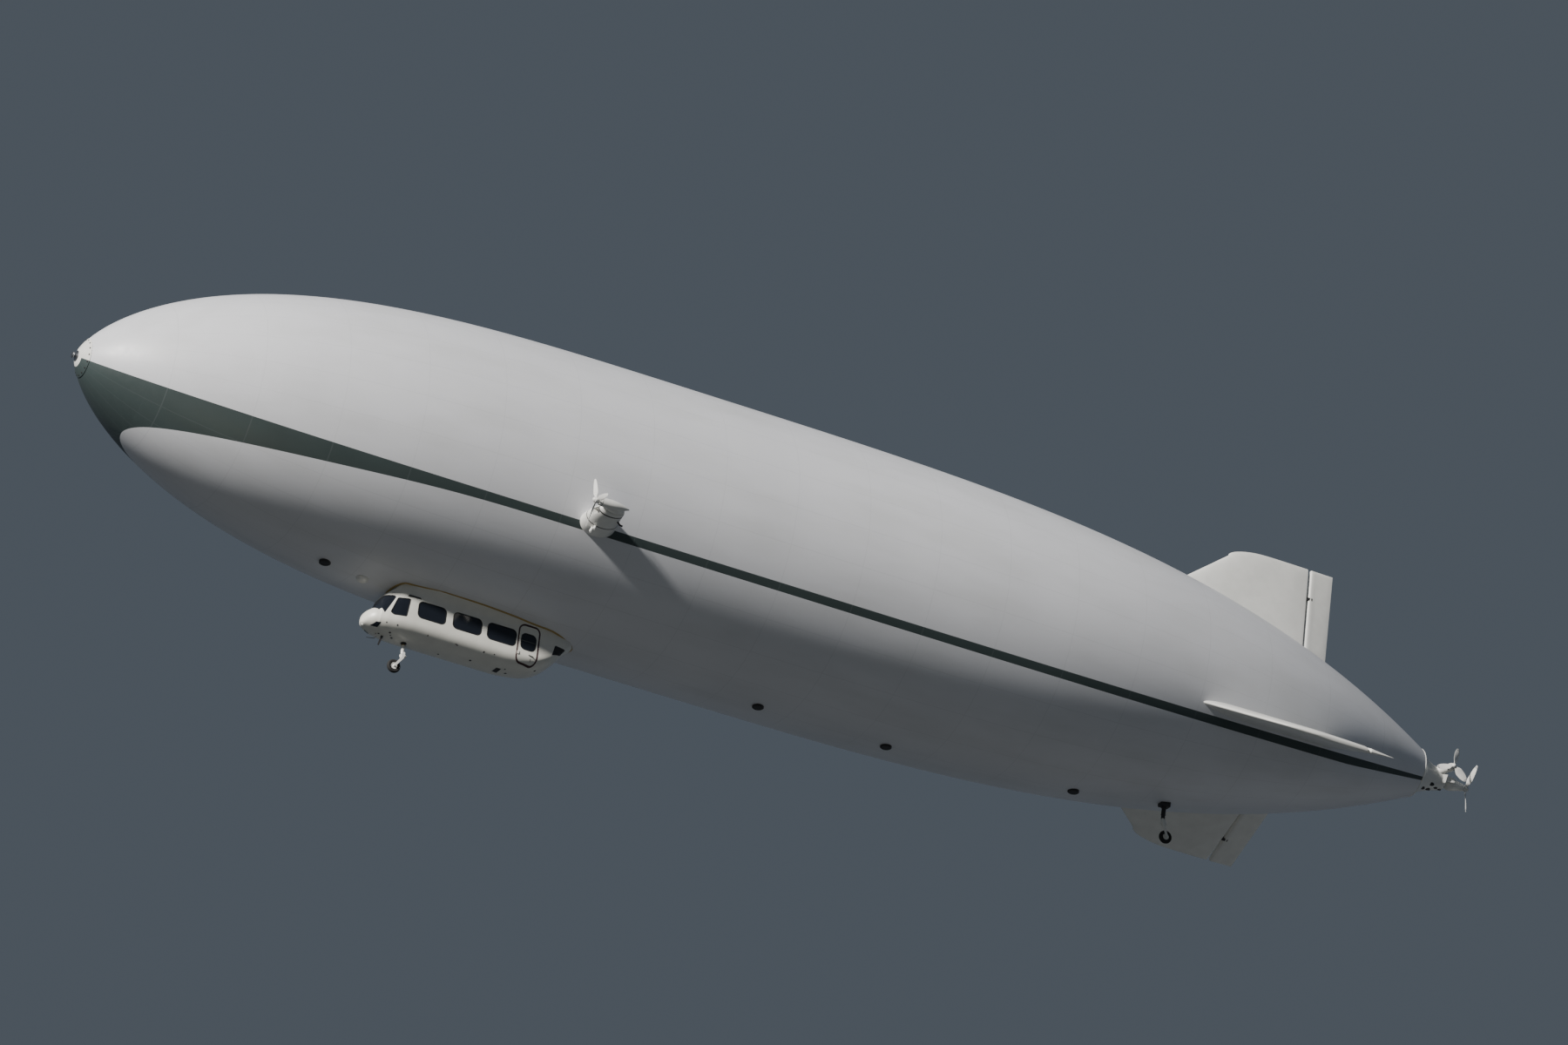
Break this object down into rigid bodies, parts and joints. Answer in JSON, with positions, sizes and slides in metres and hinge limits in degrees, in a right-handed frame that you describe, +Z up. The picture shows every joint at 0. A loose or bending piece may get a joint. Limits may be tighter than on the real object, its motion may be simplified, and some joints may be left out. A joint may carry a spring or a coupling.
{
  "type": "semi-rigid airship, 1:2 scale model",
  "caption": "Half-size passenger airship with a slender hull, a windowed gondola, swivelling side propellers and finned tail.",
  "frame": {"origin": "on the hull's axis at its centre of buoyancy, 17.0 m aft of the hull's nose tip", "axes": "+X aft along the hull's axis, nose towards -X; port side towards -Y; +Z up"},
  "size_m": [37.3083, 9.5583, 9.905],
  "materials": {
    "hull_fabric": "smooth laminated hull fabric, satin",
    "white_laminate": "white paint, satin",
    "gondola_paint": "cream white paint, semi-gloss",
    "tinted_glass": "dark tinted",
    "dark_coat": "matt black",
    "steel": "machined",
    "seat_cloth": "dark blue woven cloth",
    "tyre": "matt rubber",
    "blade_paint": "white paint, semi-gloss"
  },
  "bodies": {
    "root": {"envelope": "hull_fabric", "nose_cap": "white_laminate", "nose_mooring": "steel", "fin_top": "white_laminate", "fin_port": "white_laminate", "fin_starboard": "white_laminate", "hinge_top": "dark_coat", "hinge_port": "dark_coat", "hinge_starboard": "dark_coat", "gondola_nose": "gondola_paint", "gondola_floor": "gondola_paint", "gondola_side_port": "gondola_paint", "gondola_side_starboard": "gondola_paint", "gondola_tail": "gondola_paint", "cabin_ceiling": "gondola_paint", "cabin_deck": "dark_coat", "windshield": "tinted_glass", "cockpit_window_port": "tinted_glass", "cockpit_window_starboard": "tinted_glass", "cabin_glazing_port": "tinted_glass", "cabin_glazing_starboard": "tinted_glass", "seats_port": "seat_cloth", "seats_starboard": "seat_cloth", "pilot_seats": "seat_cloth", "instrument_panel": "dark_coat", "front_gear_leg": "dark_coat", "aft_gear_leg": "dark_coat", "engine_cowl_port": "white_laminate", "engine_cowl_starboard": "white_laminate", "engine_pylon_port": "white_laminate", "engine_pylon_starboard": "white_laminate", "engine_block_port": "steel", "engine_block_starboard": "steel", "stern_ring": "white_laminate", "stern_cowl": "white_laminate", "stern_engine_block": "steel", "lateral_gearbox": "white_laminate", "gas_valve_1": "dark_coat", "gas_valve_2": "dark_coat", "gas_valve_3": "dark_coat", "gas_valve_4": "dark_coat", "belly_dome": "white_laminate"},
    "rudder_top": {"rudder_top": "white_laminate"},
    "elevator_port": {"elevator_port": "white_laminate"},
    "elevator_starboard": {"elevator_starboard": "white_laminate"},
    "cabin_door": {"cabin_door": "gondola_paint", "door_glass": "tinted_glass"},
    "front_fork": {"front_gear_fork": "white_laminate"},
    "front_wheel": {"front_wheel_tyre": "tyre", "front_wheel_rim": "white_laminate"},
    "aft_fork": {"aft_gear_fork": "white_laminate"},
    "aft_wheel": {"aft_wheel_tyre": "tyre", "aft_wheel_rim": "white_laminate"},
    "swivel_port": {"swivel_head_port": "white_laminate"},
    "propeller_port": {"propeller_port": "blade_paint"},
    "swivel_starboard": {"swivel_head_starboard": "white_laminate"},
    "propeller_starboard": {"propeller_starboard": "blade_paint"},
    "lateral_propeller": {"lateral_propeller": "blade_paint"},
    "pusher_head": {"pusher_head": "white_laminate"},
    "pusher_propeller": {"pusher_propeller": "blade_paint"}
  },
  "joints": [
    {"name": "rudder_top_hinge", "type": "hinge", "parent": "root", "child": "rudder_top", "pos_m": [15.4, 0, 3], "axis": [0, 0, 1], "range_deg": [-25, 25]},
    {"name": "elevator_port_hinge", "type": "hinge", "parent": "root", "child": "elevator_port", "pos_m": [15.4, -2.71892, -1.26785], "axis": [0, -0.9063, -0.4226], "range_deg": [-25, 25]},
    {"name": "elevator_starboard_hinge", "type": "hinge", "parent": "root", "child": "elevator_starboard", "pos_m": [15.4, 2.71892, -1.26785], "axis": [0, 0.9063, -0.4226], "range_deg": [-25, 25]},
    {"name": "cabin_door_hinge", "type": "hinge", "parent": "root", "child": "cabin_door", "pos_m": [-5.343, -0.5725, -4.03], "axis": [0, 0, -1], "range_deg": [0, 100]},
    {"name": "front_gear_caster", "type": "hinge", "parent": "root", "child": "front_fork", "pos_m": [-7.98, 0, -4.9], "axis": [0, 0, 1], "continuous": true},
    {"name": "front_wheel_spin", "type": "hinge", "parent": "front_fork", "child": "front_wheel", "pos_m": [-8.15, 0, -5.28], "axis": [0, 1, 0], "continuous": true},
    {"name": "aft_gear_caster", "type": "hinge", "parent": "root", "child": "aft_fork", "pos_m": [12.02, 0, -3.1], "axis": [0, 0, 1], "continuous": true},
    {"name": "aft_wheel_spin", "type": "hinge", "parent": "aft_fork", "child": "aft_wheel", "pos_m": [12.13, 0, -3.66], "axis": [0, 1, 0], "continuous": true},
    {"name": "engine_swivel_port", "type": "hinge", "parent": "root", "child": "swivel_port", "pos_m": [-4.79, -4.2, -1.735], "axis": [0, 1, 0], "range_deg": [0, 120]},
    {"name": "propeller_port_spin", "type": "hinge", "parent": "swivel_port", "child": "propeller_port", "pos_m": [-5.36, -4.2, -1.735], "axis": [-1, 0, 0], "continuous": true},
    {"name": "engine_swivel_starboard", "type": "hinge", "parent": "root", "child": "swivel_starboard", "pos_m": [-4.79, 4.2, -1.735], "axis": [0, 1, 0], "range_deg": [0, 120]},
    {"name": "propeller_starboard_spin", "type": "hinge", "parent": "swivel_starboard", "child": "propeller_starboard", "pos_m": [-5.36, 4.2, -1.735], "axis": [-1, 0, 0], "continuous": true},
    {"name": "lateral_propeller_spin", "type": "hinge", "parent": "root", "child": "lateral_propeller", "pos_m": [19.48, -0.52, 0.24], "axis": [0, -1, 0], "continuous": true},
    {"name": "pusher_swivel", "type": "hinge", "parent": "root", "child": "pusher_head", "pos_m": [19.66, 0, 0], "axis": [0, 1, 0], "range_deg": [0, 90]},
    {"name": "pusher_propeller_spin", "type": "hinge", "parent": "pusher_head", "child": "pusher_propeller", "pos_m": [20.12, 0, 0], "axis": [1, 0, 0], "continuous": true}
  ]
}
